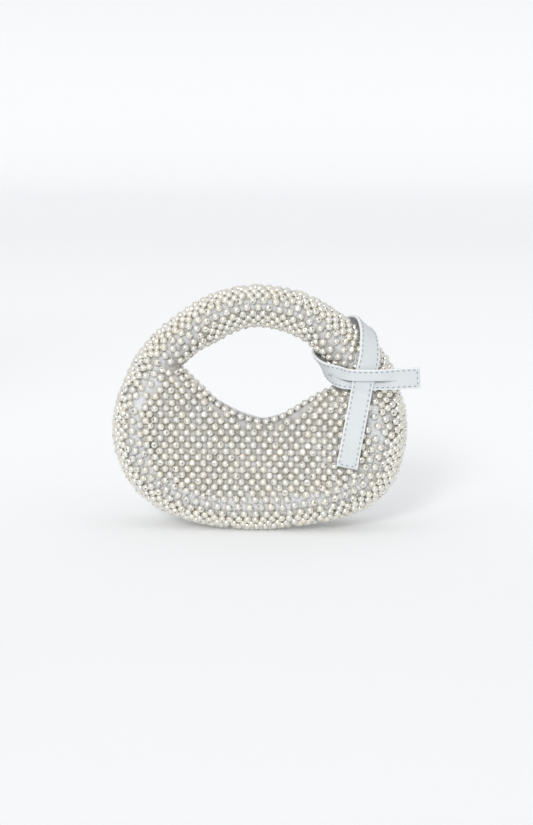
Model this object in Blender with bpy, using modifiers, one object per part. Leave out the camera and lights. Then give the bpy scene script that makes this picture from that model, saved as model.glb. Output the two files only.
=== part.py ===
# Mini handbag: a ring shaped beaded pouch with a stuffed handle and a looped leather strap.
# Metres, +Z up. The bag stands on z = 0 with its front towards -Y.

import math

import bmesh
import bpy
from mathutils import Vector

MM = 0.001

# Overall sizes, measured over the beads
BAG_WIDTH = 207.2 * MM
BAG_HEIGHT = 170.5 * MM
BAG_DEPTH = 64.0 * MM
POUCH_HEIGHT = 74.8 * MM
HANDLE_THICKNESS = 30.9 * MM
HANDLE_DEPTH = 29.0 * MM

# Beaded cloth and the mouth
WALL = 6.0 * MM
MOUTH_GAP = 16.0 * MM
FRONT_RIM_RISE = 3.6 * MM
SEAM_INSET = 14.0 * MM
BASE_FLAT_SHARE = 0.5
FACING_THICKNESS = 1.2 * MM
FACING_DEPTH = 14.0 * MM
FACING_PROUD = 1.2 * MM
FACING_CLEARANCE = 0.55 * MM
SEAT_CLEARANCE = 0.3 * MM
SEAM_CLEARANCE = 0.5 * MM

# Leather strap
STRAP_WIDTH = 14.6 * MM
STRAP_THICKNESS = 1.8 * MM
STRAP_CLEARANCE = 0.4 * MM
STRAP_EDGE_ROUND = 0.3 * MM
TAIL_LENGTH = 59.5 * MM
TAIL_CLEARANCE = 0.8 * MM
TAIL_LEAN = math.radians(10.2)
BAND_REACH = 38.5 * MM
SLIT_LENGTH = 42.0 * MM
SLIT_SHIFT = 1.5 * MM
SLIT_OPENING = 1.0 * MM
SLIT_SHARE = 0.58

# The ring is drawn with an angle round this centre: 0 is +X, 90 is up, 270 is down
CENTRE_HEIGHT_SHARE = 0.6217
RING_ASPECT = 0.8229
RING_CENTRE = Vector((0.0, 0.0, BAG_HEIGHT * CENTRE_HEIGHT_SHARE))
RISE_STRETCH = BAG_HEIGHT / (BAG_WIDTH * RING_ASPECT)
RIGHT_SHOULDER = -6.0
LEFT_SHOULDER = 173.0

# Handle sections: angle, outer radius (of bag width), thickness and depth (of the handle's)
HANDLE_ROWS = (
    (-6.0, 0.4836, 1.550, 1.36),
    (6.0, 0.4537, 1.480, 1.30),
    (18.0, 0.4069, 1.290, 1.18),
    (30.0, 0.3707, 1.150, 1.08),
    (42.0, 0.3430, 1.060, 1.02),
    (56.0, 0.3282, 1.045, 1.00),
    (70.0, 0.3166, 1.020, 1.00),
    (84.0, 0.3113, 1.000, 1.00),
    (98.0, 0.3113, 0.995, 1.00),
    (112.0, 0.3165, 1.030, 1.00),
    (126.0, 0.3265, 1.075, 1.00),
    (140.0, 0.3420, 1.115, 1.01),
    (152.0, 0.3675, 1.140, 1.04),
    (164.0, 0.4030, 1.165, 1.12),
    (173.0, 0.4319, 1.180, 1.22),
)

# Pouch sections: angle, outer radius (of bag width), then how far the ring's width, its depth and
# the mouth have grown from the shoulder (0) to the middle of the pouch (1)
POUCH_ROWS = (
    (173.0, 0.4319, 0.000, 0.00, 0.00),
    (182.0, 0.4615, 0.380, 0.25, 0.16),
    (192.0, 0.5030, 0.745, 0.48, 0.42),
    (202.0, 0.5385, 1.020, 0.65, 0.64),
    (212.0, 0.5605, 1.190, 0.78, 0.79),
    (222.0, 0.5700, 1.290, 0.87, 0.89),
    (232.0, 0.5645, 1.290, 0.93, 0.95),
    (242.0, 0.5454, 1.200, 0.97, 0.98),
    (252.0, 0.5290, 1.115, 0.99, 1.00),
    (262.0, 0.5165, 1.040, 1.00, 1.00),
    (272.0, 0.5138, 1.000, 1.00, 1.00),
    (282.0, 0.5150, 1.005, 1.00, 1.00),
    (292.0, 0.5299, 1.120, 0.99, 0.99),
    (302.0, 0.5545, 1.280, 0.96, 0.96),
    (312.0, 0.5767, 1.430, 0.91, 0.90),
    (322.0, 0.5800, 1.430, 0.83, 0.80),
    (332.0, 0.5570, 1.180, 0.70, 0.62),
    (342.0, 0.5285, 0.820, 0.48, 0.36),
    (350.0, 0.5010, 0.340, 0.18, 0.12),
    (354.0, 0.4836, 0.000, 0.00, 0.00),
)

# How the section of the ring changes from the shoulder to the middle of the pouch
WIDEST_AT = (0.50, 0.68)
OUTER_ROUNDNESS = (2.0, 2.3)
INNER_ROUNDNESS = (2.0, 1.35)

# Degrees between the sections of the solids
HANDLE_STEP = 5.0
POUCH_STEP = 5.0
SHOULDER_GAP_DEGREES = 0.30
FACING_ENDS = (191.0, 340.0)

# Strap round the handle: ring angle, turn round the section (0 outer edge, 90 front, 180 hand
# hole, 270 back) and the free height over the beads, in strap thicknesses
LOOP_ROWS = (
    (9.5, 68.0, 0.90),
    (16.5, 45.0, 0.75),
    (22.5, 19.0, 0.95),
    (26.5, -9.0, 0.90),
    (28.0, -40.0, 0.50),
    (27.0, -75.0, 0.40),
    (24.0, -110.0, 0.45),
    (20.0, -145.0, 0.45),
    (15.0, -180.0, 0.45),
    (7.2, -206.0, 0.75),
)

# Flat end of the strap: place along it from the crossing (shares of the shoulder's width on the
# left, of its reach on the right), how far it stands forward (of the crossing's) and its rise
# (of the strap's width)
BAND_LEFT_ROWS = (
    (-0.33, 0.84, 0.07),
    (-0.18, 0.98, 0.01),
    (0.0, 1.0, 0.0),
    (0.20, 1.0, 0.01),
)
BAND_RIGHT_ROWS = (
    (0.45, 0.99, 0.03),
    (0.72, 0.97, 0.08),
    (1.0, 0.93, 0.12),
)
STRAND_FLAT_SHARE = 0.62
STRAP_STEPS = 4

# Tail: places along it, layers that it sinks between two of them, and where it is measured across
TAIL_STEPS = 7
TAIL_SINK = 0.5
TAIL_PROBES = (-0.5, -0.25, 0.0, 0.25, 0.5)

# Rounded rim of the beaded wall: how far it is rolled and the sunk and crosswise shares of its cap
RIM_ROLL = 0.16
RIM_CAP = ((0.05, 0.20), (0.0, 0.50), (0.05, 0.80))
HANDLE_SIDES = 24
INNER_STEPS = 7
SEAM_STEPS = 3
GUSSET_STEPS = 6
FACING_STEPS = 2
LAST_FACING_SHARE = 0.01
NORMAL_STEP = 0.5
SHARP_ANGLE = math.radians(40)
EDGE_ANGLE = math.radians(60)


def blend(low, high, share):
    return low + (high - low) * share


def read_rows(rows, angle):
    """Catmull-Rom reading of a table whose first column is an angle."""
    angle = min(max(angle, rows[0][0]), rows[-1][0])
    index = max(i for i in range(len(rows) - 1) if rows[i][0] <= angle)
    before = rows[max(index - 1, 0)]
    low = rows[index]
    high = rows[index + 1]
    after = rows[min(index + 2, len(rows) - 1)]
    span = high[0] - low[0]
    t = (angle - low[0]) / span
    values = []
    for column in range(1, len(low)):
        slope_low = (high[column] - before[column]) / max(high[0] - before[0], span) * span
        slope_high = (after[column] - low[column]) / max(after[0] - low[0], span) * span
        values.append(
            (2 * t**3 - 3 * t**2 + 1) * low[column]
            + (t**3 - 2 * t**2 + t) * slope_low
            + (3 * t**2 - 2 * t**3) * high[column]
            + (t**3 - t**2) * slope_high
        )
    return values


class Section:
    """One cut through the ring: from the hand hole (across 0) to the outer edge (across 1)."""

    def __init__(self, angle):
        self.angle = angle
        if RIGHT_SHOULDER <= angle <= LEFT_SHOULDER:
            outer, thickness, depth = read_rows(HANDLE_ROWS, angle)
            self.width = HANDLE_THICKNESS * thickness
            self.half_depth = HANDLE_DEPTH * depth / 2
            grown = 0.0
            self.mouth = 0.0
        else:
            outer, rise, grown, self.mouth = read_rows(POUCH_ROWS, angle)
            shoulder = HANDLE_ROWS[-1] if angle < 270.0 else HANDLE_ROWS[0]
            self.width = blend(HANDLE_THICKNESS * shoulder[2], POUCH_HEIGHT, rise)
            self.half_depth = blend(HANDLE_DEPTH * shoulder[3], BAG_DEPTH, grown) / 2
        self.outer = BAG_WIDTH * outer
        self.widest = self.width * blend(*WIDEST_AT, grown)
        self.outer_power = blend(*OUTER_ROUNDNESS, grown)
        self.inner_power = blend(*INNER_ROUNDNESS, self.mouth)
        self.base_flat = self.half_depth * BASE_FLAT_SHARE * grown**3
        self.mouth_half = SEAT_CLEARANCE / 2 + MOUTH_GAP / 2 * self.mouth

    def point(self, reach, depth):
        """World point at a reach from the hand hole's edge and a depth along Y."""
        angle = math.radians(self.angle)
        radius = self.outer - self.width + reach
        x = radius * math.cos(angle)
        z = RING_CENTRE.z + radius * math.sin(angle) * RISE_STRETCH
        return Vector((x, depth, max(z, 0.0)))

    def inner_half(self, share, inset):
        """From the rim (share 0) to the widest depth (share 1); inset 1 is the wall's inside."""
        turn = share * math.pi / 2
        start_reach = WALL * (1.0 - self.mouth) * inset
        start_depth = self.mouth_half + WALL * self.mouth * (1.0 - inset)
        full_depth = self.half_depth - WALL * inset
        reach = self.widest - (self.widest - start_reach) * math.cos(turn) ** (2 / self.inner_power)
        depth = start_depth + (full_depth - start_depth) * math.sin(turn) ** (2 / self.inner_power)
        return reach, depth

    def outer_half(self, share, inset):
        """From the widest depth (share 0) to the outer edge's flat (share 1)."""
        turn = share * math.pi / 2
        full_depth = self.half_depth - WALL * inset
        flat = self.base_flat * full_depth / self.half_depth
        run = self.width - self.widest - WALL * inset
        reach = self.widest + run * math.sin(turn) ** (2 / self.outer_power)
        depth = flat + (full_depth - flat) * max(math.cos(turn), 0.0) ** (2 / self.outer_power)
        return reach, depth

    def seam_share(self, offset):
        """Share of the outer half where the gusset's seam lies."""
        along = (self.width - SEAM_INSET + offset - self.widest) / (self.width - self.widest)
        return math.asin(along ** (self.outer_power / 2)) / (math.pi / 2)

    def depth_at(self, reach):
        """Half depth of the beaded surface at a reach from the hand hole's edge."""
        reach = min(max(reach, 0.0), self.width)
        if reach < self.widest:
            share = 1.0 - reach / self.widest
            start = self.mouth_half + WALL * self.mouth
            power = self.inner_power
            return start + (self.half_depth - start) * (1.0 - share**power) ** (1 / power)
        share = (reach - self.widest) / (self.width - self.widest)
        power = self.outer_power
        return self.base_flat + (self.half_depth - self.base_flat) * (1.0 - share**power) ** (1 / power)


def section_at(angle):
    """Section at any angle, wrapped into the range of the two tables."""
    while angle < RIGHT_SHOULDER:
        angle += 360.0
    return Section(angle)


def front_depth(x, z):
    """Half depth of the beaded body under a point of the front view."""
    rise = (z - RING_CENTRE.z) / RISE_STRETCH
    section = section_at(math.degrees(math.atan2(rise, x)))
    return section.depth_at(math.hypot(x, rise) - section.outer + section.width)


def spread(start, end, step):
    count = max(int(round((end - start) / step)), 1)
    return [start + (end - start) * i / count for i in range(count + 1)]


def new_object(name, mesh, material, collection):
    mesh.materials.append(material)
    item = bpy.data.objects.new(name, mesh)
    collection.objects.link(item)
    return item


def new_material(name, colour, roughness, metallic):
    material = bpy.data.materials.new(name)
    material.use_nodes = True
    shader = material.node_tree.nodes["Principled BSDF"]
    shader.inputs["Base Color"].default_value = (*colour, 1.0)
    shader.inputs["Roughness"].default_value = roughness
    shader.inputs["Metallic"].default_value = metallic
    return material


def loft(name, loops):
    """Closed solid through loops of equal point counts, with a face at each end."""
    bm = bmesh.new()
    rings = [[bm.verts.new(point) for point in loop] for loop in loops]
    count = len(rings[0])
    for low, high in zip(rings, rings[1:]):
        for i in range(count):
            j = (i + 1) % count
            bm.faces.new((low[i], low[j], high[j], high[i]))
    bm.faces.new(list(reversed(rings[0])))
    bm.faces.new(rings[-1])
    bmesh.ops.recalc_face_normals(bm, faces=bm.faces[:])
    mesh = bpy.data.meshes.new(name)
    bm.to_mesh(mesh)
    bm.free()
    mesh.shade_smooth()
    mesh.set_sharp_from_angle(angle=SHARP_ANGLE)
    return mesh


def handle_loop(angle):
    """Oval section of the stuffed handle."""
    section = Section(angle)
    loop = []
    for i in range(HANDLE_SIDES):
        turn = 2 * math.pi * i / HANDLE_SIDES
        reach = section.width / 2 * (1 + math.cos(turn))
        loop.append(section.point(reach, -section.half_depth * math.sin(turn)))
    return loop


def panel_loop(angle, side, rise):
    """Wall of the pouch from its rounded rim to the seam; side is -1 in front, 1 at the back."""
    section = Section(angle)
    seam = section.seam_share(-SEAM_CLEARANCE / 2)

    def wall_face(inset):
        face = [
            section.inner_half(blend(RIM_ROLL, 1.0, i / INNER_STEPS), inset)
            for i in range(INNER_STEPS)
        ]
        face += [section.outer_half(seam * i / SEAM_STEPS, inset) for i in range(SEAM_STEPS + 1)]
        return face

    outer_start = section.inner_half(0.0, 0.0)
    inner_start = section.inner_half(0.0, 1.0)
    cap = [
        (
            blend(outer_start[0], inner_start[0], across) + WALL * sunk,
            blend(outer_start[1], inner_start[1], across),
        )
        for sunk, across in RIM_CAP
    ]
    profile = list(reversed(wall_face(0.0))) + cap + wall_face(1.0)
    lifted = rise * section.mouth
    loop = []
    for reach, depth in profile:
        lift = lifted * max(0.0, 1.0 - reach / section.widest)
        loop.append(section.point(reach - lift, side * depth))
    return loop


def gusset_loop(angle):
    """Band round the outer edge, from the front seam to the back seam."""
    section = Section(angle)
    seam = section.seam_share(SEAM_CLEARANCE / 2)
    shares = [blend(seam, 1.0, i / GUSSET_STEPS) for i in range(GUSSET_STEPS + 1)]

    def band_face(inset):
        half = [section.outer_half(share, inset) for share in shares]
        if half[-1][1] < SEAT_CLEARANCE:
            half[-1] = (half[-1][0], SEAT_CLEARANCE)
        front = [(reach, -depth) for reach, depth in half]
        return front + list(reversed(half))

    profile = band_face(0.0) + list(reversed(band_face(1.0)))
    return [section.point(reach, depth) for reach, depth in profile]


def facing_loop(angle):
    """Thin strip on the inside of the back wall, from just over the rim downwards."""
    section = Section(angle)
    rim = section.inner_half(0.0, 1.0)
    left_over = 1.0 - FACING_DEPTH / (section.widest - rim[0])
    end = math.acos(left_over ** (section.inner_power / 2)) / (math.pi / 2)
    shares = [min(blend(RIM_ROLL, 1.0, i / INNER_STEPS), end) for i in range(FACING_STEPS)]
    shares.append(max(end, shares[-1] + LAST_FACING_SHARE))
    seat = [(rim[0] - FACING_PROUD, rim[1]), rim]
    seat += [section.inner_half(share, 1.0) for share in shares]
    back = [(reach, depth - FACING_CLEARANCE) for reach, depth in seat]
    front = [(r, d - FACING_THICKNESS) for r, d in back]
    return [section.point(r, d) for r, d in back + list(reversed(front))]


def handle_surface(angle, turn):
    section = Section(angle)
    turn = math.radians(turn)
    return section.point(section.width / 2 * (1 + math.cos(turn)), -section.half_depth * math.sin(turn))


def handle_normal(angle, turn):
    step = NORMAL_STEP
    along = handle_surface(angle + step, turn) - handle_surface(angle - step, turn)
    around = handle_surface(angle, turn + step) - handle_surface(angle, turn - step)
    normal = along.cross(around).normalized()
    outward = handle_surface(angle, turn) - Section(angle).point(Section(angle).width / 2, 0.0)
    return normal if normal.dot(outward) > 0 else -normal


def strap_controls():
    """Points and normals of the strap, from its hanging tail to its slit end."""
    front = Vector((0.0, -1.0, 0.0))
    layer = STRAP_THICKNESS + STRAP_CLEARANCE
    crossing = Section(0.0)
    middle = crossing.point(crossing.width / 2, 0.0)
    plane = crossing.half_depth + STRAP_CLEARANCE + STRAP_THICKNESS / 2 + layer
    slit_shift = (SLIT_SHARE - 0.5) * STRAP_WIDTH
    controls = []

    down = Vector((-math.sin(TAIL_LEAN), 0.0, -math.cos(TAIL_LEAN)))
    across = Vector((math.cos(TAIL_LEAN), 0.0, -math.sin(TAIL_LEAN)))
    for i in range(TAIL_STEPS, 0, -1):
        place = middle + down * TAIL_LENGTH * i / TAIL_STEPS
        probes = [place + across * STRAP_WIDTH * share for share in TAIL_PROBES]
        under = max(front_depth(probe.x, probe.z) for probe in probes)
        rest = under + TAIL_CLEARANCE + STRAP_THICKNESS / 2
        place.y = -max(rest, plane - layer * TAIL_SINK * i)
        controls.append((place, front.copy()))

    middle.y = -plane
    controls.append((middle.copy(), front.copy()))

    for angle, turn, height in LOOP_ROWS:
        normal = handle_normal(angle, turn)
        lift = STRAP_CLEARANCE + STRAP_THICKNESS * (0.5 + height)
        controls.append((handle_surface(angle, turn) + normal * lift, normal))

    band_start = len(controls)
    reaches = [(crossing.width, row) for row in BAND_LEFT_ROWS]
    reaches += [(BAND_REACH, row) for row in BAND_RIGHT_ROWS]
    for reach, (share, forward, rise) in reaches:
        offset = Vector((reach * share, plane * (1 - forward), slit_shift + STRAP_WIDTH * rise))
        controls.append((middle + offset, front.copy()))
    return controls, band_start


def spline(controls, per_span):
    """Smooth stations through the controls, each with place, tangent and normal."""
    stations = []
    last = len(controls) - 1
    for i in range(last):
        quad = [controls[min(max(i + k, 0), last)] for k in (-1, 0, 1, 2)]
        for step in range(per_span + (i == last - 1)):
            t = step / per_span
            weights = (
                (-t + 2 * t**2 - t**3) / 2,
                (2 - 5 * t**2 + 3 * t**3) / 2,
                (t + 4 * t**2 - 3 * t**3) / 2,
                (-(t**2) + t**3) / 2,
            )
            place = sum((c[0] * w for c, w in zip(quad, weights)), Vector())
            normal = sum((c[1] * w for c, w in zip(quad, weights)), Vector())
            stations.append([place, normal.normalized()])
    return stations


def strap_mesh(name):
    """Open ribbon with its slit; the two strands of the slit part to let the tail through."""
    controls, band_start = strap_controls()
    stations = spline(controls, STRAP_STEPS)
    places = [station[0] for station in stations]
    crossing = Section(0.0)
    slit_middle = crossing.point(crossing.width / 2, 0.0).x + SLIT_SHIFT
    bm = bmesh.new()
    columns = (0.0, SLIT_SHARE / 2, SLIT_SHARE, SLIT_SHARE, (1 + SLIT_SHARE) / 2, 1.0)
    grid = []
    for i, (place, normal) in enumerate(stations):
        before = places[max(i - 1, 0)]
        after = places[min(i + 1, len(places) - 1)]
        tangent = (after - before).normalized()
        across = tangent.cross(normal).normalized()
        normal = across.cross(tangent).normalized()
        in_band = i > (band_start - 1) * STRAP_STEPS
        offset = abs(place.x - slit_middle) if in_band else SLIT_LENGTH
        inside = offset < SLIT_LENGTH / 2
        run = SLIT_LENGTH / 2 - STRAP_WIDTH * STRAND_FLAT_SHARE
        ramp = min(max((SLIT_LENGTH / 2 - offset) / run, 0.0), 1.0)
        ramp = ramp * ramp * (3 - 2 * ramp)
        part = normal * (STRAP_THICKNESS + STRAP_CLEARANCE) * ramp
        row = []
        for k, column in enumerate(columns):
            if k == 3 and not inside:
                row.append(row[2])
                continue
            upper = k < 3
            at = place + across * STRAP_WIDTH * (column - 0.5) + (part if upper else -part)
            if k in (2, 3):
                at += across * SLIT_OPENING / 2 * ramp * (-1 if upper else 1)
            row.append(bm.verts.new(at))
        grid.append(row)
    for low, high in zip(grid, grid[1:]):
        for k in (0, 1, 3, 4):
            bm.faces.new((low[k], low[k + 1], high[k + 1], high[k]))
    bmesh.ops.recalc_face_normals(bm, faces=bm.faces[:])
    mesh = bpy.data.meshes.new(name)
    bm.to_mesh(mesh)
    bm.free()
    mesh.shade_smooth()
    return mesh


def build():
    for item in list(bpy.data.objects):
        bpy.data.objects.remove(item, do_unlink=True)
    bag = bpy.data.collections.new("mini_handbag")
    bpy.context.scene.collection.children.link(bag)

    beads = new_material("silver_beads", (0.72, 0.70, 0.66), 0.35, 0.7)
    facing = new_material("facing_cloth", (0.66, 0.66, 0.72), 0.7, 0.0)
    leather = new_material("white_leather", (0.84, 0.87, 0.89), 0.5, 0.0)

    handle_angles = spread(RIGHT_SHOULDER, LEFT_SHOULDER, HANDLE_STEP)
    handle_loops = [handle_loop(angle) for angle in handle_angles]
    new_object("handle", loft("handle", handle_loops), beads, bag)

    low = LEFT_SHOULDER + SHOULDER_GAP_DEGREES
    high = 360.0 + RIGHT_SHOULDER - SHOULDER_GAP_DEGREES
    pouch_angles = spread(low, high, POUCH_STEP)
    front_loops = [panel_loop(angle, -1, FRONT_RIM_RISE) for angle in pouch_angles]
    new_object("front_panel", loft("front_panel", front_loops), beads, bag)
    back_loops = [panel_loop(angle, 1, 0.0) for angle in pouch_angles]
    new_object("back_panel", loft("back_panel", back_loops), beads, bag)
    gusset_loops = [gusset_loop(angle) for angle in pouch_angles]
    new_object("gusset", loft("gusset", gusset_loops), beads, bag)

    facing_loops = [facing_loop(angle) for angle in spread(*FACING_ENDS, POUCH_STEP)]
    new_object("mouth_facing", loft("mouth_facing", facing_loops), facing, bag)

    strap = new_object("leather_strap", strap_mesh("leather_strap"), leather, bag)
    wall = strap.modifiers.new("thickness", "SOLIDIFY")
    wall.thickness = STRAP_THICKNESS
    wall.offset = 0.0
    wall.use_even_offset = True
    rounded = strap.modifiers.new("edges", "BEVEL")
    rounded.width = STRAP_EDGE_ROUND
    rounded.segments = 1
    rounded.limit_method = "ANGLE"
    rounded.angle_limit = EDGE_ANGLE


build()
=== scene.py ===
import math
import random
from collections import namedtuple

import bmesh
import bpy
import numpy as np
from mathutils import Matrix, Vector
from mathutils.bvhtree import BVHTree
from mathutils.kdtree import KDTree


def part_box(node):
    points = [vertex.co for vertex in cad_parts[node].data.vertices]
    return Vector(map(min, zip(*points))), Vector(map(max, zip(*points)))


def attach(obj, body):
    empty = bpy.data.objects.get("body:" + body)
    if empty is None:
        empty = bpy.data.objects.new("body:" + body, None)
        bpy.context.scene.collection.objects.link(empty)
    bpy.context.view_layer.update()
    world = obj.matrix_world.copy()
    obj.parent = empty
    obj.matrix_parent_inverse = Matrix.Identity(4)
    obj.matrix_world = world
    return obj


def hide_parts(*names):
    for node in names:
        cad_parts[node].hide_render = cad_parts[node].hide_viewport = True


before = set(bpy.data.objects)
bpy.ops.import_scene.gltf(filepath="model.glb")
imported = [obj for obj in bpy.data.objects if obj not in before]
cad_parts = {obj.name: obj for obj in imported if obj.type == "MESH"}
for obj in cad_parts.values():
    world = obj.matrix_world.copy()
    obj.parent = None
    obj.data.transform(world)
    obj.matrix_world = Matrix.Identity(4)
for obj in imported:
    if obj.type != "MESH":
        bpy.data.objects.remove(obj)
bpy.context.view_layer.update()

MM = 0.001


# The beaded form.
# The whole bag is one ring: a stuffed handle above and a pouch below, both covered with beads.
# Its outer form is read from the frame as cuts through the ring, one for every ring angle.
RING_CENTRE_SHARE = 0.6217
RIGHT_SHOULDER = -6.0
LEFT_SHOULDER = 173.0
CUT_STEP = 2.0
CUT_START = 0.5
CUT_POINTS = 44
# How far inside the outer edge the rays of a cut end: at the shoulders, and on the rest of the pouch.
CORE_INSET = (17 * MM, 30 * MM)
CORE_BLEND = 28.0
SEAM_INSET = 14 * MM
SEAM_WINDOW = 7
RIM_DROP = 3 * MM
LAST_TURN = math.radians(179.5)
FAR = 0.3
RAY_START = {"handle": 48 * MM, "pouch": 78 * MM}


def smooth_step(value):
    value = min(max(value, 0.0), 1.0)
    return value * value * (3 - 2 * value)


def tree_of(*names):
    """Search tree over the meshes of some CAD nodes."""
    points = []
    faces = []
    for name in names:
        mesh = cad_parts[name].data
        base = len(points)
        points += [v.co.copy() for v in mesh.vertices]
        faces += [tuple(base + i for i in p.vertices) for p in mesh.polygons]
    return BVHTree.FromPolygons(points, faces)


beaded_tree = tree_of("handle", "front_panel", "gusset", "back_panel")
ring_centre = Vector((0.0, 0.0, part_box("handle")[1].z * RING_CENTRE_SHARE))


def radial(angle):
    """Unit way out from the ring's centre."""
    return Vector((math.cos(math.radians(angle)), 0.0, math.sin(math.radians(angle))))


def is_handle(angle):
    return (angle - RIGHT_SHOULDER) % 360 + RIGHT_SHOULDER <= LEFT_SHOULDER


def past_shoulder(angle):
    """Degrees on the pouch from the nearer shoulder."""
    return min((angle - LEFT_SHOULDER) % 360, (RIGHT_SHOULDER - angle) % 360)


def ring_edges(angle):
    """Outer and inner edge of the ring in one cut."""
    out = radial(angle)
    outer = beaded_tree.ray_cast(ring_centre + out * FAR, -out)[0]
    inner = beaded_tree.ray_cast(ring_centre, out)[0]
    return outer, inner


def read_cut(angle, side):
    """Points of one half cut from the outer edge to the hand hole or the mouth's rim."""
    out = radial(angle)
    outer, inner = ring_edges(angle)
    ray_start = RAY_START["handle" if is_handle(angle) else "pouch"]
    if is_handle(angle):
        core = (outer + inner) / 2
    else:
        share = smooth_step(past_shoulder(angle) / CORE_BLEND)
        core = outer - out * (CORE_INSET[0] + (CORE_INSET[1] - CORE_INSET[0]) * share)

    def reach(turn):
        way = out * math.cos(turn) + Vector((0.0, side * math.sin(turn), 0.0))
        hit = beaded_tree.ray_cast(core + way * ray_start, -way)[0]
        return (hit - core).length if hit else 0.0

    good = math.pi / 2
    last = reach(good)
    fine = math.radians(1.0)
    while good < math.pi - fine:
        following = reach(good + fine)
        if following < last - RIM_DROP:
            break
        good += fine
        last = following
    turns = np.linspace(0.0, min(good, LAST_TURN), 3 * CUT_POINTS)
    reaches = np.pad([reach(turn) for turn in turns], SEAM_WINDOW // 2, mode="edge")
    reaches = np.median([reaches[i:i + len(turns)] for i in range(SEAM_WINDOW)], axis=0)
    ways = [out * math.cos(turn) + Vector((0.0, side * math.sin(turn), 0.0)) for turn in turns]
    cut = np.array([list(core + way * length) for way, length in zip(ways, reaches)])
    along = np.concatenate([[0.0], np.cumsum(np.linalg.norm(np.diff(cut, axis=0), axis=1))])
    even = np.linspace(0.0, along[-1], CUT_POINTS)
    return np.stack([np.interp(even, along, cut[:, k]) for k in range(3)], axis=1), along[-1]


def smoothed(values, times):
    """Values of the cuts, each eased with those of its two neighbours round the ring."""
    for _ in range(times):
        values = (np.roll(values, 1, 0) + 2 * values + np.roll(values, -1, 0)) / 4
    return values


cut_angles = np.arange(CUT_START, 360.0, CUT_STEP)
cuts = {}
cut_lengths = {}
cut_normals = {}
for side in (-1, 1):
    pairs = [read_cut(angle, side) for angle in cut_angles]
    grid = smoothed(np.array([pair[0] for pair in pairs]), 2)
    cuts[side] = grid
    cut_lengths[side] = smoothed(np.array([pair[1] for pair in pairs]), 2)
    round_ring = np.roll(grid, -1, 0) - np.roll(grid, 1, 0)
    along_cut = np.gradient(grid, axis=1)
    normal = np.cross(round_ring, along_cut) * -side
    normal /= np.linalg.norm(normal, axis=2, keepdims=True)
    cut_normals[side] = normal


def cuts_beside(angle):
    """The two cuts beside a ring angle, and how far it lies from the first to the second."""
    place = (angle - CUT_START) % 360.0 / CUT_STEP
    i = int(place) % len(cut_angles)
    return i, (i + 1) % len(cut_angles), place - int(place)


def on_ring(table, angle, share, side):
    """Value of a table of cuts at any ring angle and any share of the cut's length."""
    i, j, f = cuts_beside(angle)
    across = min(max(share, 0.0), 1.0) * (CUT_POINTS - 1)
    k = min(int(across), CUT_POINTS - 2)
    g = across - k
    rows = table[side]
    low = rows[i, k] * (1 - g) + rows[i, k + 1] * g
    high = rows[j, k] * (1 - g) + rows[j, k + 1] * g
    return low * (1 - f) + high * f


def around(values, angle):
    """Value of a list with one number for each cut, at any ring angle."""
    i, j, f = cuts_beside(angle)
    return float(values[i] * (1 - f) + values[j] * f)


def length_at(angle, side):
    return around(cut_lengths[side], angle)


def surface(angle, along, side):
    """Point and outward normal of the bead tops, a length away from the outer edge."""
    share = along / length_at(angle, side)
    point = on_ring(cuts, angle, share, side)
    normal = on_ring(cut_normals, angle, share, side)
    return Vector(point), Vector(normal).normalized()


def seam_along(angle, side):
    """Length from the outer edge to the seam between the gusset and a panel."""
    grid = cuts[side][int(round((angle - CUT_START) % 360.0 / CUT_STEP)) % len(cut_angles)]
    radii = np.hypot(grid[:, 0] - ring_centre.x, grid[:, 2] - ring_centre.z)
    k = int(np.argmax(radii < radii[0] - SEAM_INSET))
    return length_at(angle, side) * k / (CUT_POINTS - 1)


# Beads.
# Round silver coloured plastic beads with a thread hole, knitted on one by one. They stand in level
# rows on the panels and in rows round the ring on the gusset and handle, further apart in one band
# on each side. One row closes each rim of the mouth.
BEAD_DIAMETER = 5.55 * MM
BEAD_SIDES = 12
BEAD_BANDS = 6
BEAD_HOLE = 0.65 * MM
BEAD_HOLE_DEPTH = 0.8 * MM
BEAD_SUNK = BEAD_DIAMETER / 2
# Each spacing holds the distance along a row and the distance from row to row.
EDGE_SPACING = (5.9 * MM, 4.7 * MM)
INNER_SPACING = (6.6 * MM, 4.5 * MM)
LATTICE_SPACING = (7.55 * MM, 4.14 * MM)
LATTICE_PHASE = (-32.2 * MM, 61.0 * MM)
LATTICE_START = 8.0 * MM
LATTICE_MISS = 2.5 * MM
LATTICE_ROWS = range(-15, 14)
LATTICE_COLUMNS = range(-14, 22)
SPARSE_SPACING = (7.4 * MM, 4.6 * MM)
RIM_SPACING = 5.9 * MM
RIM_ROW_INSET = 3.0 * MM
RIM_GAP = 3.9 * MM
DENSE_REACH = 5.45 * MM
SPARSE_REACH = 6.9 * MM
SPARSE_HALF_WIDTH = 8.5 * MM
SPARSE_CHANGE = (2, 1.2)
SPARSE_BESIDE_SEAM = 2.0 * MM
SPARSE_ON_HANDLE = 0.49
SHOULDER_BLEND = 20.0
INNER_ROWS_START = 0.5
TOP = 90.0
LINE_POINTS = 721
ROW_COUNT = 8
OUTER_START = -9.4 * MM
OUTER_MEASURED = -10 * MM
INNER_START = 9.2 * MM
INNER_MEASURED = 12 * MM
BACK_EDGE_GAP = 1.2 * MM
FILL_STEP = 1.5 * MM
FILL_ANGLES = np.arange(0.0, 360.0, 1.0)
ROW_ROOM = 0.78
FILL_ROOM = 0.87
LAST_ROOM = 0.74
BEAD_WANDER = 0.38 * MM
LOOSE_ANGLES = (184, 222)
LOOSE_WANDER = 2.0
EASE_PASSES = 14
EASE_SHARE = 0.3
EASE_REACH = 2 * BEAD_DIAMETER
NORMAL_FOLLOWS = 0.15
SAME_FACE = 0.5
chance = random.Random(7)


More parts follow.
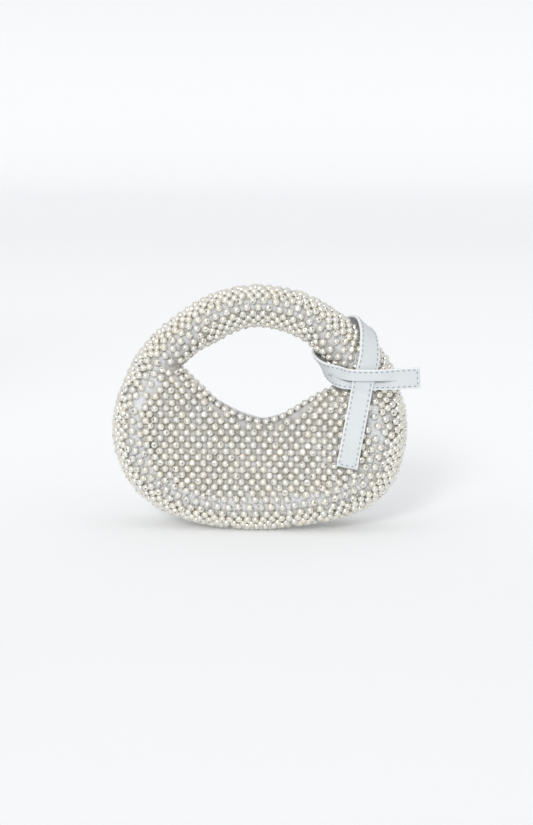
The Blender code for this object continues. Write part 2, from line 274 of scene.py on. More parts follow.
def handle_share(angle):
    """1 on the handle, 0 on the pouch, with a smooth change below the shoulders."""
    if is_handle(angle):
        return 1.0
    return 1.0 - smooth_step(past_shoulder(angle) / SHOULDER_BLEND)


band_middle = {}
for side in (-1, 1):
    middles = []
    for angle in cut_angles:
        share = handle_share(angle)
        in_pouch = seam_along(angle, side) + SPARSE_BESIDE_SEAM
        in_handle = length_at(angle, side) * SPARSE_ON_HANDLE
        middles.append(in_handle * share + in_pouch * (1 - share))
    band_middle[side] = smoothed(np.array(middles), 6)


def band_at(angle, side):
    """Length from the outer edge to the middle of the sparse band."""
    return around(band_middle[side], angle)


def evenly_along(side, line_of, spacing):
    """Ring angles at equal distances along one closed line round the bag, from the bottom."""
    fine = np.linspace(TOP, TOP + 360.0, LINE_POINTS)
    line = np.array([list(surface(angle, line_of(angle), side)[0]) for angle in fine])
    travelled = np.concatenate([[0.0], np.cumsum(np.linalg.norm(np.diff(line, axis=0), axis=1))])
    count = int(round(travelled[-1] / spacing))
    start = travelled[len(fine) // 2]

    def angle_of(n):
        return float(np.interp((start + n * travelled[-1] / count) % travelled[-1], travelled, fine))

    return angle_of, count


def ring_rows(side, rows, middle, spacing):
    """Beads of parallel rows round the ring; rows share one count, so every second is half shifted."""
    def line_of(angle):
        return min(max(band_at(angle, side) + middle, 0.0), length_at(angle, side))

    angle_of, count = evenly_along(side, line_of, spacing)
    for row, offset in enumerate(rows):
        for n in range(count):
            angle = angle_of(n + row % 2 / 2)
            along = band_at(angle, side) + offset
            yield angle, along


def along_of(point, side):
    """Ring angle of a point, its length from the outer edge, and its distance from the cut."""
    angle = math.degrees(math.atan2(point.z - ring_centre.z, point.x)) % 360
    i, j, f = cuts_beside(angle)
    line = cuts[side][i] * (1 - f) + cuts[side][j] * f
    apart = np.linalg.norm(line - np.array(point), axis=1)
    k = int(apart.argmin())
    return angle, length_at(angle, side) * k / (CUT_POINTS - 1), float(apart[k])


def panel_lattice(side):
    """Beads of the knitted rows of one panel: level rows, each half a spacing beside the last."""
    across, pitch = LATTICE_SPACING
    for row in LATTICE_ROWS:
        z = LATTICE_PHASE[1] + row * pitch
        for n in LATTICE_COLUMNS:
            x = LATTICE_PHASE[0] + (n + row % 2 / 2) * across
            hit = beaded_tree.ray_cast(Vector((x, side * FAR, z)), Vector((0, -side, 0)))[0]
            if not hit:
                continue
            angle, along, apart = along_of(hit, side)
            inside = along > band_at(angle, side) + LATTICE_START
            if apart < LATTICE_MISS and not is_handle(angle) and inside:
                yield hit, angle, along


Spot = namedtuple("Spot", "point normal angle along side rank")


def spot_at(angle, along, side, rank):
    """Place for a bead; of two that would share it, the one of the lower rank stays."""
    return Spot(*surface(angle, along, side), angle, along, side, rank)


def clear_of_rim(angle, along, side):
    return is_handle(angle) or length_at(angle, side) - along > RIM_ROW_INSET + RIM_GAP


OUTER_ROWS = [OUTER_START - EDGE_SPACING[1] * k for k in range(ROW_COUNT)]
SPARSE_ROWS = [-SPARSE_SPACING[1], 0.0, SPARSE_SPACING[1]]
INNER_ROWS = [INNER_START + INNER_SPACING[1] * k for k in range(ROW_COUNT)]
bead_spots = []
for side in (-1, 1):
    def rim_line(angle, side=side):
        return length_at(angle, side) - RIM_ROW_INSET

    angle_of, count = evenly_along(side, rim_line, RIM_SPACING)
    for n in range(count):
        angle = angle_of(n)
        if not is_handle(angle):
            bead_spots.append(spot_at(angle, rim_line(angle), side, 0))
    for point, angle, along in panel_lattice(side):
        if clear_of_rim(angle, along, side):
            bead_spots.append(spot_at(angle, along, side, 1)._replace(point=point))
    rows = list(ring_rows(side, OUTER_ROWS, OUTER_MEASURED, EDGE_SPACING[0]))
    rows += [(angle, along) for angle, along in ring_rows(side, INNER_ROWS, INNER_MEASURED, INNER_SPACING[0])
             if handle_share(angle) > INNER_ROWS_START]
    rows += list(ring_rows(side, SPARSE_ROWS, 0.0, SPARSE_SPACING[0]))
    for angle, along in rows:
        if not 0.0 <= along <= length_at(angle, side) or (along < BACK_EDGE_GAP and side == 1):
            continue
        if clear_of_rim(angle, along, side):
            bead_spots.append(spot_at(angle, along, side, 1))


# Beads that would share a place are left out, rim rows first. Bare places are then filled, and all
# the beads are eased apart over the form.
def bead_reach(spot):
    """How far apart beads stand here."""
    from_band = abs(spot.along - band_at(spot.angle, spot.side)) / SPARSE_HALF_WIDTH
    change = smooth_step(from_band * SPARSE_CHANGE[0] - SPARSE_CHANGE[1])
    return SPARSE_REACH + (DENSE_REACH - SPARSE_REACH) * change


def nearest_of(point, places, count):
    """Distance from a point to the nearest of the first places."""
    if count == 0:
        return 1.0
    return math.sqrt(((places[:count] - np.array(point)) ** 2).sum(axis=1).min())


bead_spots.sort(key=lambda spot: spot.rank)
for angle in FILL_ANGLES:
    for side in (-1, 1):
        for n in range(int(length_at(angle, side) / FILL_STEP)):
            if clear_of_rim(angle, n * FILL_STEP, side):
                bead_spots.append(spot_at(angle, n * FILL_STEP, side, 2))
kept = []
places = np.zeros((len(bead_spots), 3))
for spot in bead_spots:
    limit = FILL_ROOM * bead_reach(spot) if spot.rank == 2 else ROW_ROOM * BEAD_DIAMETER
    if nearest_of(spot.point, places, len(kept)) > limit:
        places[len(kept)] = spot.point
        kept.append(spot)
tops = [spot.point.copy() for spot in kept]
normals = [spot.normal.copy() for spot in kept]
reaches = [bead_reach(spot) for spot in kept]
for spot, top in zip(kept, tops):
    if spot.rank == 1:
        loose = LOOSE_WANDER if LOOSE_ANGLES[0] < spot.angle % 360 < LOOSE_ANGLES[1] else 1.0
        top += Vector([chance.uniform(-1, 1) * BEAD_WANDER * loose for _ in range(3)])
for _ in range(EASE_PASSES):
    tree = KDTree(len(tops))
    for i, top in enumerate(tops):
        tree.insert(top, i)
    tree.balance()
    moves = [Vector() for _ in tops]
    for i, top in enumerate(tops):
        for found, j, distance in tree.find_range(top, reaches[i]):
            room = min(reaches[i], reaches[j])
            if j != i and 1e-6 < distance < room:
                moves[i] += (top - found).normalized() * (room - distance) * EASE_SHARE
    for i, move in enumerate(moves):
        place, normal, _, _ = beaded_tree.find_nearest(tops[i] + move)
        if (place - tops[i]).length < EASE_REACH:
            tops[i] = place
        if normal.dot(normals[i]) > SAME_FACE:
            normals[i] = (normals[i] * (1 - NORMAL_FOLLOWS) + normal * NORMAL_FOLLOWS).normalized()

centres = [top - normal * BEAD_SUNK for top, normal in zip(tops, normals)]
beads = []
for i, centre in enumerate(centres):
    if all((centre - other[0]).length > LAST_ROOM * BEAD_DIAMETER for other in beads
           if abs(centre.x - other[0].x) < BEAD_DIAMETER and abs(centre.z - other[0].z) < BEAD_DIAMETER):
        beads.append((centre, normals[i], kept[i].angle % 360, kept[i].side, kept[i].along))


def bead_shape():
    """One bead with its thread hole along X: a spun profile."""
    bm = bmesh.new()
    radius = BEAD_DIAMETER / 2
    edge = math.asin(BEAD_HOLE / radius)
    profile = [Vector((radius - BEAD_HOLE_DEPTH, 0.0, 0.0))]
    for i in range(BEAD_BANDS + 1):
        turn = edge + (math.pi - 2 * edge) * i / BEAD_BANDS
        profile.append(Vector((radius * math.cos(turn), radius * math.sin(turn), 0.0)))
    profile.append(Vector((-radius + BEAD_HOLE_DEPTH, 0.0, 0.0)))
    made = [bm.verts.new(p) for p in profile]
    edges = [bm.edges.new(pair) for pair in zip(made, made[1:])]
    bmesh.ops.spin(bm, geom=made + edges, axis=(1, 0, 0), cent=(0, 0, 0), angle=2 * math.pi,
                   steps=BEAD_SIDES, use_merge=True)
    bmesh.ops.remove_doubles(bm, verts=bm.verts[:], dist=0.01 * MM)
    bmesh.ops.recalc_face_normals(bm, faces=bm.faces[:])
    bm.verts.index_update()
    points = np.array([list(v.co) for v in bm.verts])
    faces = [[v.index for v in f.verts] for f in bm.faces]
    bm.free()
    return points, faces


def smooth_item(mesh):
    """Object of the mesh's own name, shaded smooth and in the scene."""
    mesh.shade_smooth()
    item = bpy.data.objects.new(mesh.name, mesh)
    bpy.context.scene.collection.objects.link(item)
    return item


def joined(name, points, faces, copies, marks=0.0):
    """One mesh of many turned and placed copies; copies hold centre, 3x3 turn and tone."""
    count = len(copies)
    sizes = np.array([len(face) for face in faces])
    corners = np.concatenate([np.array(face) for face in faces])
    places = np.concatenate([points @ np.array(turn).T + np.array(centre) for centre, turn, _ in copies])
    mesh = bpy.data.meshes.new(name)
    mesh.vertices.add(count * len(points))
    mesh.vertices.foreach_set("co", places.astype(np.float32).ravel())
    shifts = np.repeat(np.arange(count) * len(points), len(corners))
    mesh.loops.add(count * len(corners))
    mesh.loops.foreach_set("vertex_index", (np.tile(corners, count) + shifts).astype(np.int32))
    mesh.polygons.add(count * len(faces))
    starts = np.concatenate([[0], np.cumsum(np.tile(sizes, count))[:-1]])
    mesh.polygons.foreach_set("loop_start", starts.astype(np.int32))
    tones = mesh.attributes.new("tone", "FLOAT", "POINT")
    values = np.array([np.full(len(points), tone) + marks for _, _, tone in copies])
    tones.data.foreach_set("value", values.astype(np.float32).ravel())
    mesh.update(calc_edges=True)
    mesh.validate()
    return smooth_item(mesh)


def turn_to(normal, spin):
    """Turn that lays a bead's hole in the cloth's plane, spun about the normal."""
    base = normal.cross(Vector((0, 0, 1)))
    base = base.normalized() if base.length > 0.05 else Vector((1, 0, 0))
    side_way = normal.cross(base).normalized()
    along = base * math.cos(spin) + side_way * math.sin(spin)
    return Matrix((along, normal.cross(along), normal)).transposed()


class Value:
    """A socket in a material: arithmetic on it adds Math nodes."""

    def __init__(self, finish, socket):
        self.finish = finish
        self.socket = socket

    def sum_of(self, operation, first, second=0.0):
        made = self.finish.node("ShaderNodeMath", {"operation": operation}, {0: first, 1: second})
        return self.finish.value(made)

    def __add__(self, other):
        return self.sum_of("ADD", self, other)

    def __radd__(self, other):
        return self.sum_of("ADD", other, self)

    def __sub__(self, other):
        return self.sum_of("SUBTRACT", self, other)

    def __rsub__(self, other):
        return self.sum_of("SUBTRACT", other, self)

    def __mul__(self, other):
        return self.sum_of("MULTIPLY", self, other)

    def __rmul__(self, other):
        return self.sum_of("MULTIPLY", other, self)

    def __truediv__(self, other):
        return self.sum_of("DIVIDE", self, other)

    def __mod__(self, other):
        return self.sum_of("FLOORED_MODULO", self, other)

    def __abs__(self):
        return self.sum_of("ABSOLUTE", self)

    def over(self, limit):
        return self.sum_of("GREATER_THAN", self, limit)

    def lowest(self, other):
        return self.sum_of("MINIMUM", self, other)

    def highest(self, other):
        return self.sum_of("MAXIMUM", self, other)


class Finish:
    """One material, with its Principled shader and a short way to add nodes."""

    def __init__(self, name, roughness, metallic=0.0, **uniform):
        self.material = bpy.data.materials.new(name)
        self.material.use_nodes = True
        self.tree = self.material.node_tree
        self.shader = self.tree.nodes["Principled BSDF"]
        self.shader.inputs["Roughness"].default_value = roughness
        self.shader.inputs["Metallic"].default_value = metallic
        for name, value in uniform.items():
            self.shader.inputs[name.replace("_", " ")].default_value = value

    def node(self, kind, settings, values):
        made = self.tree.nodes.new(kind)
        for name, value in settings.items():
            if name == "stops":
                ramp = made.color_ramp
                while len(ramp.elements) < len(value):
                    ramp.elements.new(0.5)
                for element, (place, colour) in zip(ramp.elements, value):
                    element.position = place
                    element.color = (*colour, 1.0)
            else:
                setattr(made, name, value)
        for name, value in values.items():
            self.put(made.inputs[name], value)
        return made

    def value(self, node, output=0):
        return Value(self, node.outputs[output])

    def put(self, socket, value):
        if isinstance(value, Value):
            self.tree.links.new(value.socket, socket)
        elif isinstance(value, tuple) and len(value) == 3 and socket.type == "RGBA":
            socket.default_value = (*value, 1.0)
        else:
            socket.default_value = value

    def set(self, name, value):
        self.put(self.shader.inputs[name], value)

    def mixed(self, factor, low, high):
        made = self.node("ShaderNodeMix", {"data_type": "RGBA"}, {"Factor": factor, 6: low, 7: high})
        return self.value(made, 2)

    def object_place(self):
        return self.value(self.node("ShaderNodeTexCoord", {}, {}), 3)

    def noise(self, scale, detail=2.0, place=None):
        made = self.node("ShaderNodeTexNoise", {}, {
            "Vector": place or self.object_place(), "Scale": scale, "Detail": detail})
        return self.value(made)

    def bump(self, height, strength, distance):
        values = {"Height": height, "Strength": strength, "Distance": distance}
        return self.value(self.node("ShaderNodeBump", {}, values))


BEAD_WARM = (0.86, 0.82, 0.73)
BEAD_COOL = (0.80, 0.80, 0.77)
BEAD_DULL = (0.56, 0.525, 0.45)
HOLE_SHADE = (0.10, 0.085, 0.07)
# The tone is pushed below zero at the thread holes, and the finish paints them dark brown there: painted
# shade inside the holes.
HOLE_SHADE_MARK = -4.0
HOLE_REACH = 0.4
SPIN_SPREAD = 0.6
SPIN_SHIFT = 0.7
SHIFTED_SHARE = 0.35
TILT_SPREAD = 0.95
SIZE_SPREAD = 0.018
TONE_SPREAD = 0.25


def bead_finish():
    finish = Finish("silver_bead", 0.15, 0.72)
    tone = finish.value(finish.node("ShaderNodeAttribute", {"attribute_name": "tone"}, {}), 2)
    plain = finish.mixed(tone, BEAD_COOL, BEAD_WARM)
    patch = finish.noise(420.0, 2.0)
    # Painted shade: the thread holes turn dark brown.
    hole = (0.0 - tone).highest(0.0).lowest(1.0)
    silver = finish.mixed((patch - 0.5) * 1.6, plain, BEAD_DULL)
    finish.set("Base Color", finish.mixed(hole, silver, HOLE_SHADE))
    finish.set("Roughness", 0.09 + 0.10 * patch)
    finish.set("Normal", finish.bump(finish.noise(900.0, 1.0), 0.12, 0.1 * MM))
    return finish.material


bead_points, bead_faces = bead_shape()
# Painted shade marks at the bottoms of the thread holes.
bead_hole_shade = np.where(np.linalg.norm(bead_points, axis=1) < BEAD_DIAMETER * HOLE_REACH, HOLE_SHADE_MARK, 0.0)
bead_material = bead_finish()
bead_groups = {"front_beads": [], "back_beads": [], "gusset_beads": [], "handle_beads": []}
for centre, normal, angle, side, along in beads:
    spin = chance.gauss(0.0, SPIN_SPREAD) + (SPIN_SHIFT if chance.random() < SHIFTED_SHARE else 0.0)
    tilt = Matrix.Rotation(chance.gauss(0.0, TILT_SPREAD), 3, "Y")
    size = 1.0 + chance.gauss(0.0, SIZE_SPREAD)
    turn = turn_to(normal, spin) @ tilt * size
    tone = min(max(chance.gauss(0.5, TONE_SPREAD), 0.0), 1.0)
    if is_handle(angle):
        group = "handle_beads"
    elif along < seam_along(angle, side):
        group = "gusset_beads"
    else:
        group = "front_beads" if side == -1 else "back_beads"
    bead_groups[group].append((centre, turn, tone))
for name, copies in bead_groups.items():
    item = joined(name, bead_points, bead_faces, copies, bead_hole_shade)
    item.data.materials.append(bead_material)
    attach(item, "root")


# Knit cloth under the beads.
# The handle's stuffed cover, the two panels and the gusset are knitted in a cool white yarn, with
# the beads carried on their stitches. It shows between the beads, most in the sparse bands. Among
# dense beads it is painted a brownish grey: painted shade with a painted reflection of the beads.
CLOTH_SUNK = 3.8 * MM
CLOTH_WALL = 1.6 * MM
SEAM_LAP = 1.0 * MM
LAP_SUNK = 0.2 * MM
KNIT_PITCH = 2.1
# The knit's colour ramp runs from painted shade in the hollows of the yarn pattern, over the yarn's own
# colour, to painted light on its ridges.
KNIT_RIDGE_LIGHT = (0.96, 0.96, 0.98)
KNIT_LIGHT = (0.87, 0.895, 0.94)
KNIT_HOLLOW_SHADE = (0.68, 0.705, 0.755)
# Brownish grey painted into the cloth among dense beads: painted shade with a painted reflection of the warm
# beads.
KNIT_SHADED = (0.50, 0.48, 0.44)
CLOTH_STEP = 1.5
SHOULDER_LAP = 1.0
RING_RADIUS = 95.0
DENSE_START = 4.5 * MM
DENSE_FADE = 3 * MM
PANEL_RIM_INSET = 2.2 * MM
PANEL_SPANS = 20
GUSSET_SPANS = 18
HANDLE_SPANS = 16
WELD = 0.4 * MM


def knit_finish():
    """Slanted yarn strokes in rows along the ring; the map is in millimetres."""
    finish = Finish("lilac_knit", 0.85, 0.0, Sheen_Weight=0.25)
    chart = finish.node("ShaderNodeUVMap", {"uv_map": "stitches"}, {})
    split = finish.node("ShaderNodeSeparateXYZ", {}, {0: finish.value(chart)})
    along = finish.value(split, 0)
    across = finish.value(split, 1)
    wander = (finish.noise(160.0, 2.0) - 0.5) * 1.4
    column = (across + wander * 0.4) / KNIT_PITCH
    leg = abs((column % 1.0) - 0.5)
    slanted = (along + wander) / KNIT_PITCH + leg * 1.6
    stroke = abs((slanted % 1.0) - 0.5) * 2.0
    valley = (1.0 - abs(leg - 0.25) * 4.0).highest(0.0)
    height = (stroke.lowest(1.0) * 0.7 + valley * 0.5)
    # The ramp paints the low parts of the yarn pattern darker and its tops lighter: painted shade in the
    # hollows, painted light on the ridges.
    shade = finish.value(finish.node("ShaderNodeValToRGB", {"stops": (
        (0.25, KNIT_HOLLOW_SHADE), (0.62, KNIT_LIGHT), (1.0, KNIT_RIDGE_LIGHT))}, {0: height}))
    # Painted shade: among dense beads the cloth is clouded towards the brownish grey, standing in for the
    # shade and the beads' warm reflection there.
    dense = finish.value(finish.node("ShaderNodeAttribute", {"attribute_name": "dense"}, {}), 2)
    painted_shade = (dense * (finish.noise(110.0, 2.0) * 2.4 - 0.7)).highest(0.0).lowest(0.95)
    finish.set("Base Color", finish.mixed(painted_shade, shade, KNIT_SHADED))
    finish.set("Normal", finish.bump(height, 0.8, 0.6 * MM))
    return finish.material


def item_from(bm, name):
    """Object with the finished mesh of a bmesh, which ends here."""
    mesh = bpy.data.meshes.new(name)
    bm.to_mesh(mesh)
    bm.free()
    return smooth_item(mesh)


def ring_sheet(name, angles, alongs, sunk, wall, closed=False):
    """Sheet that follows the beaded form; alongs gives signed lengths, negative in front."""
    bm = bmesh.new()
    rows = len(angles)
    columns = len(alongs(angles[0]))
    bmesh.ops.create_grid(bm, x_segments=columns - 1, y_segments=rows - 1, size=0.5)
    chart = {}
    dense = bm.verts.layers.float.new("dense")
    for v in bm.verts:
        column = int(round((v.co.x + 0.5) * (columns - 1)))
        row = int(round((v.co.y + 0.5) * (rows - 1)))
        angle = angles[row]
        along = alongs(angle)[column]
        side = -1 if along < 0 else 1
        point, normal = surface(angle, abs(along), side)
        chart[v] = (math.radians(angle) * RING_RADIUS, along / MM, normal)
        # Weight of the painted shade among dense beads: 0 in the sparse band, rising to 1 away from it.
        v[dense] = smooth_step((abs(abs(along) - band_at(angle, side)) - DENSE_START) / DENSE_FADE)
        v.co = point - normal * sunk
    layer = bm.loops.layers.uv.new("stitches")
    for face in bm.faces:
        for loop in face.loops:
            loop[layer].uv = chart[loop.vert][:2]
    bm.normal_update()
    if sum(face.normal.dot(chart[face.verts[0]][2]) for face in bm.faces) < 0:
        bmesh.ops.reverse_faces(bm, faces=bm.faces[:])
    if closed:
        bmesh.ops.remove_doubles(bm, verts=bm.verts[:], dist=WELD)
    for edge in bm.edges:
        edge.smooth = not edge.is_boundary
    item = item_from(bm, name)
    thick = item.modifiers.new("wall", "SOLIDIFY")
    thick.thickness = wall
    thick.offset = -1.0
    thick.use_even_offset = False
    return item


def panel_alongs(side):
    def alongs(angle):
        low = seam_along_smooth(angle, side)
        high = length_at(angle, side) - PANEL_RIM_INSET
        return [side * (low + (high - low) * i / PANEL_SPANS) for i in range(PANEL_SPANS + 1)]
    return alongs


def gusset_alongs(angle):
    front = seam_along_smooth(angle, -1) + SEAM_LAP
    back = seam_along_smooth(angle, 1) + SEAM_LAP
    return ([-front + front * i / GUSSET_SPANS for i in range(GUSSET_SPANS)]
            + [back * i / GUSSET_SPANS for i in range(GUSSET_SPANS + 1)])


def handle_alongs(angle):
    front = length_at(angle, -1)
    back = length_at(angle, 1)
    return ([-front * (1 - i / HANDLE_SPANS) for i in range(HANDLE_SPANS)]
            + [back * i / HANDLE_SPANS for i in range(HANDLE_SPANS + 1)])


seam_tables = {}
for side in (-1, 1):
    seam_tables[side] = smoothed(np.array([seam_along(angle, side) for angle in cut_angles]), 3)


def seam_along_smooth(angle, side):
    return around(seam_tables[side], angle)


def spread(low, high, step):
    """Even values from low to high, about a step apart."""
    count = max(int(round((high - low) / step)), 1)
    return [low + (high - low) * i / count for i in range(count + 1)]


knit_material = knit_finish()
pouch_turns = spread(LEFT_SHOULDER - SHOULDER_LAP, 360.0 + RIGHT_SHOULDER + SHOULDER_LAP, CLOTH_STEP)
handle_turns = spread(RIGHT_SHOULDER, LEFT_SHOULDER, CLOTH_STEP)
front_cloth = ring_sheet("front_cloth", pouch_turns, panel_alongs(-1), CLOTH_SUNK, CLOTH_WALL)
back_cloth = ring_sheet("back_cloth", pouch_turns, panel_alongs(1), CLOTH_SUNK, CLOTH_WALL)
gusset_cloth = ring_sheet("gusset_cloth", pouch_turns, gusset_alongs, CLOTH_SUNK + LAP_SUNK, CLOTH_WALL)
handle_cloth = ring_sheet("handle_cloth", handle_turns, handle_alongs, CLOTH_SUNK, CLOTH_WALL, True)
for item, node in ((front_cloth, "front_panel"), (back_cloth, "back_panel"),
                   (gusset_cloth, "gusset"), (handle_cloth, "handle")):
    item.data.materials.append(knit_material)
    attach(item, "root")
    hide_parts(node)


# Mouth facing.
# A smooth strip of finely woven cloth sewn inside the back rim. It stands a little over the front
# rim, so that it shows as a thin pale line above the beads.
FACING_LIGHT = (0.93, 0.935, 0.96)
FACING_DARK = (0.84, 0.845, 0.88)
SAME_CORNER = 0.001 * MM
FACING_FLAT = math.radians(12)
FACING_SQUARE = math.radians(40)


def facing_finish():
    finish = Finish("facing_weave", 0.6, 0.0, Sheen_Weight=0.3)
    place = finish.object_place()
    weave = finish.noise(1500.0, 1.0, place)
    cloud = finish.noise(60.0, 2.0, place)
    finish.set("Base Color", finish.mixed(cloud * 0.6 + weave * 0.3, FACING_DARK, FACING_LIGHT))
    finish.set("Normal", finish.bump(weave, 0.35, 0.2 * MM))
    return finish.material


def rounded_copy(name, node, levels):
    """Copy of a CAD node's mesh, with its corners merged and its surface smoothed."""
    bm = bmesh.new()
    bm.from_mesh(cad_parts[node].data)
    bmesh.ops.remove_doubles(bm, verts=bm.verts[:], dist=SAME_CORNER)
    bmesh.ops.recalc_face_normals(bm, faces=bm.faces[:])
    bmesh.ops.join_triangles(bm, faces=bm.faces[:], angle_face_threshold=FACING_FLAT,
                             angle_shape_threshold=FACING_SQUARE)
    item = item_from(bm, name)
    rounded = item.modifiers.new("rounded", "SUBSURF")
    rounded.levels = levels
    rounded.render_levels = levels
    return item


facing = rounded_copy("facing_strip", "mouth_facing", 1)
facing.data.materials.append(facing_finish())
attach(facing, "root")
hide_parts("mouth_facing")


# Leather strap.
# One ribbon of white grained leather with painted edges. It is laid round the right shoulder of
# the handle, and its hanging tail is drawn through a lengthwise slit in its other end.
STRAP_WIDTH = 14.6 * MM
STRAP_THICKNESS = 1.8 * MM
STRAP_CLEARANCE = 0.4 * MM
STRAP_EDGE_ROUND = 0.5 * MM
STRAP_EDGE_SEGMENTS = 3
STRAP_EDGE_ANGLE = math.radians(60)
TAIL_LENGTH = 59.5 * MM
TAIL_LEAN = math.radians(10.2)
BAND_REACH = 38.5 * MM
SLIT_LENGTH = 42.0 * MM
SLIT_SHIFT = 1.5 * MM
SLIT_OPENING = 1.0 * MM
SLIT_SHARE = 0.58
STRAND_FLAT_SHARE = 0.62
STRAP_STEPS = 10
STRAND_SPANS = 4
TAIL_STEPS = 7
TAIL_SHARES = (-0.5, -0.25, 0.0, 0.25, 0.5)
KNOT_ANGLE = 0.0
NORMAL_STEP = 2.0
SLIT_SPREAD = 0.2
# Loop round the handle: ring angle and turn round the roll in degrees, height over it in thicknesses.
LOOP_ROWS = (
    (9.5, 68.0, 0.90),
    (16.5, 45.0, 0.75),
    (22.5, 19.0, 0.95),
    (26.5, -9.0, 0.90),
    (28.0, -40.0, 0.50),
    (27.0, -75.0, 0.40),
    (24.0, -110.0, 0.45),
    (20.0, -145.0, 0.45),
    (15.0, -180.0, 0.45),
    (7.2, -206.0, 0.75),
)
# Band across the front: shares of its reach to the right of the crossing and of the crossing's
# forward place, and rise in strap widths.
BAND_LEFT_ROWS = (
    (-0.33, 0.84, 0.07),
    (-0.18, 0.98, 0.01),
    (0.0, 1.0, 0.0),
    (0.20, 1.0, 0.01),
)
BAND_RIGHT_ROWS = (
    (0.45, 0.99, 0.03),
    (0.72, 0.97, 0.08),
    (1.0, 0.93, 0.12),
)


def handle_oval(angle):
    """Middle, half width and half depth of the handle's oval in one cut."""
    outer, inner = ring_edges(angle)
    middle = (outer + inner) / 2
    hit = beaded_tree.ray_cast(middle + Vector((0, -FAR, 0)), Vector((0, 1, 0)))[0]
    return middle, (outer - inner).length / 2, abs(hit.y)


def handle_point(angle, turn):
    """Point on the handle's oval; turn 0 is its outer edge, and 90 its front."""
    middle, half_width, half_depth = handle_oval(angle)
    turn = math.radians(turn)
    forward = Vector((0, -half_depth * math.sin(turn), 0))
    return middle + radial(angle) * half_width * math.cos(turn) + forward


def handle_normal(angle, turn):
    along = handle_point(angle + NORMAL_STEP, turn) - handle_point(angle - NORMAL_STEP, turn)
    crosswise = handle_point(angle, turn + NORMAL_STEP) - handle_point(angle, turn - NORMAL_STEP)
    normal = along.cross(crosswise).normalized()
    outward = handle_point(angle, turn) - handle_oval(angle)[0]
    return normal if normal.dot(outward) > 0 else -normal


def front_depth(x, z):
    """How far the beads stand forward at one place of the front."""
    hit = beaded_tree.ray_cast(Vector((x, -FAR, z)), Vector((0, 1, 0)))[0]
    return -hit.y if hit else 0.0


def strap_route():
    """Places and normals from the hanging tail, round the handle, to the slit end."""
    front = Vector((0, -1, 0))
    layer = STRAP_THICKNESS + STRAP_CLEARANCE
    middle, half_width, half_depth = handle_oval(KNOT_ANGLE)
    middle = Vector((middle.x, 0.0, ring_centre.z))
    plane = half_depth + STRAP_CLEARANCE + STRAP_THICKNESS / 2 + layer
    route = []
    down = Vector((-math.sin(TAIL_LEAN), 0, -math.cos(TAIL_LEAN)))
    across = Vector((math.cos(TAIL_LEAN), 0, -math.sin(TAIL_LEAN)))
    for i in range(TAIL_STEPS, 0, -1):
        place = middle + down * TAIL_LENGTH * i / TAIL_STEPS
        edges = [place + across * STRAP_WIDTH * share for share in TAIL_SHARES]
        under = max(front_depth(edge.x, edge.z) for edge in edges)
        rest = under + 2 * STRAP_CLEARANCE + STRAP_THICKNESS / 2
        place.y = -max(rest, plane - layer * i / 2)
        route.append((place, front.copy()))
    crossing = middle.copy()
    crossing.y = -plane
    route.append((crossing, front.copy()))
    for angle, turn, height in LOOP_ROWS:
        normal = handle_normal(angle, turn)
        lift = STRAP_CLEARANCE + STRAP_THICKNESS * (0.5 + height)
        route.append((handle_point(angle, turn) + normal * lift, normal))
    band_start = len(route)
    reaches = [(2 * half_width, row) for row in BAND_LEFT_ROWS]
    reaches += [(BAND_REACH, row) for row in BAND_RIGHT_ROWS]
    shift = (SLIT_SHARE - 0.5) * STRAP_WIDTH
    for reach, (share, forward, rise) in reaches:
        offset = Vector((reach * share, plane * (1 - forward), shift + STRAP_WIDTH * rise))
        route.append((crossing + offset, front.copy()))
    return route, band_start, middle.x + SLIT_SHIFT


def eased(route, per_span):
    """Stations of a smooth curve through the places of a route, with their normals."""
    stations = []
    last = len(route) - 1
    for i in range(last):
        quad = [route[min(max(i + k, 0), last)] for k in (-1, 0, 1, 2)]
        for step in range(per_span + (i == last - 1)):
            t = step / per_span
            weights = ((-t + 2 * t**2 - t**3) / 2, (2 - 5 * t**2 + 3 * t**3) / 2,
                       (t + 4 * t**2 - 3 * t**3) / 2, (-(t**2) + t**3) / 2)
            place = sum((c[0] * w for c, w in zip(quad, weights)), Vector())
            normal = sum((c[1] * w for c, w in zip(quad, weights)), Vector()).normalized()
            stations.append((place, normal))
    return stations


strap_controls, band_start, slit_middle = strap_route()
strap_line = eased(strap_controls, STRAP_STEPS)
strap_frames = []
strap_travel = [0.0]
for i, (place, normal) in enumerate(strap_line):
    before = strap_line[max(i - 1, 0)][0]
    after = strap_line[min(i + 1, len(strap_line) - 1)][0]
    tangent = (after - before).normalized()
    across = tangent.cross(normal).normalized()
    strap_frames.append((place, tangent, across, across.cross(tangent).normalized()))
    if i:
        strap_travel.append(strap_travel[-1] + (place - strap_line[i - 1][0]).length)


def strap_spot(i, share, upper, lift=0.0):
    """Point of the strap at a station, a share of its width, on one strand of the slit."""
    place, tangent, across, normal = strap_frames[i]
    in_band = i > (band_start - 1) * STRAP_STEPS
    offset = abs(place.x - slit_middle) if in_band else SLIT_LENGTH
    run = SLIT_LENGTH / 2 - STRAP_WIDTH * STRAND_FLAT_SHARE
    ramp = smooth_step((SLIT_LENGTH / 2 - offset) / run)
    part = (STRAP_THICKNESS + STRAP_CLEARANCE) * ramp * (1 if upper else -1)
    spot = place + across * STRAP_WIDTH * (share - 0.5) + normal * (part + lift)
    near_slit = max(0.0, 1 - abs(share - SLIT_SHARE) / SLIT_SPREAD)
    spot += across * SLIT_OPENING / 2 * ramp * near_slit * (-1 if upper else 1)
    return spot, offset < SLIT_LENGTH / 2


